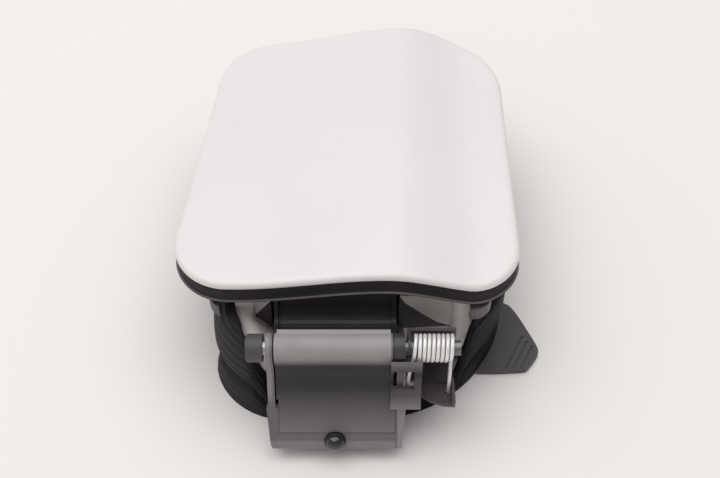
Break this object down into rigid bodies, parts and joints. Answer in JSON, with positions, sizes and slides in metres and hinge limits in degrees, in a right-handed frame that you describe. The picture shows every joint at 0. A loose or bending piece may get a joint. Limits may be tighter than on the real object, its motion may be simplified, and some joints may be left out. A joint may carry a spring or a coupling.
{
  "type": "charging port door",
  "caption": "Hinged charging port door: wavy white painted flap on a gooseneck arm over a grey pot with an opening spring, a side lock and a ribbed rubber boot.",
  "frame": {"origin": "under the middle of the part's box, on the surface that the boot stands on", "axes": "+X along the hinge towards the spring, +Y from the hinge to the far edge of the flap, +Z out of the flap's painted face"},
  "size_m": [0.1834, 0.2309, 0.084],
  "materials": {
    "white_paint": "gloss",
    "black_panel": "matte",
    "black_seal": "matte",
    "black_arm": "satin",
    "screw_steel": "satin",
    "shaft_steel": "polished",
    "dark_cap": "matte",
    "pot_grey": "matte",
    "sleeve_brass": "satin",
    "case_grey": "satin",
    "cover_grey": "satin",
    "black_gloss": "gloss",
    "bush_dark": "satin",
    "spring_steel": "polished",
    "boot_rubber": "satin"
  },
  "bodies": {
    "base": {"pot": "pot_grey", "slot_plates": "black_seal", "inlet_sleeves": "sleeve_brass", "hinge_case": "case_grey", "case_screws": "screw_steel", "pocket_cover": "cover_grey", "cover_clip": "black_gloss", "hinge_bushes": "bush_dark", "torsion_spring": "spring_steel", "boot": "boot_rubber", "stop_buffers": "black_seal", "lock_body": "black_gloss", "lock_cover": "black_panel", "lock_screws": "screw_steel"},
    "flap": {"flap_skin": "white_paint", "flap_carrier": "black_panel", "flap_seal": "black_seal", "hinge_arm": "black_arm", "arm_screws": "screw_steel", "hinge_shaft": "shaft_steel", "shaft_cap": "dark_cap", "spring_lever": "black_arm", "striker": "black_arm", "striker_screws": "screw_steel"},
    "lock_pin": {"lock_pin": "shaft_steel"}
  },
  "joints": [
    {"name": "flap_hinge", "type": "hinge", "parent": "base", "child": "flap", "pos_m": [-0.00185, -0.08608, 0.056], "axis": [1, 0, 0], "range_deg": [0, 90], "stiffness_Nm_per_rad": 0.32, "springref_deg": 108.86, "deforming": ["torsion_spring"]},
    {"name": "lock_slide", "type": "slide", "parent": "base", "child": "lock_pin", "axis": [0, -1, 0], "range_m": [0, 0.009]}
  ]
}
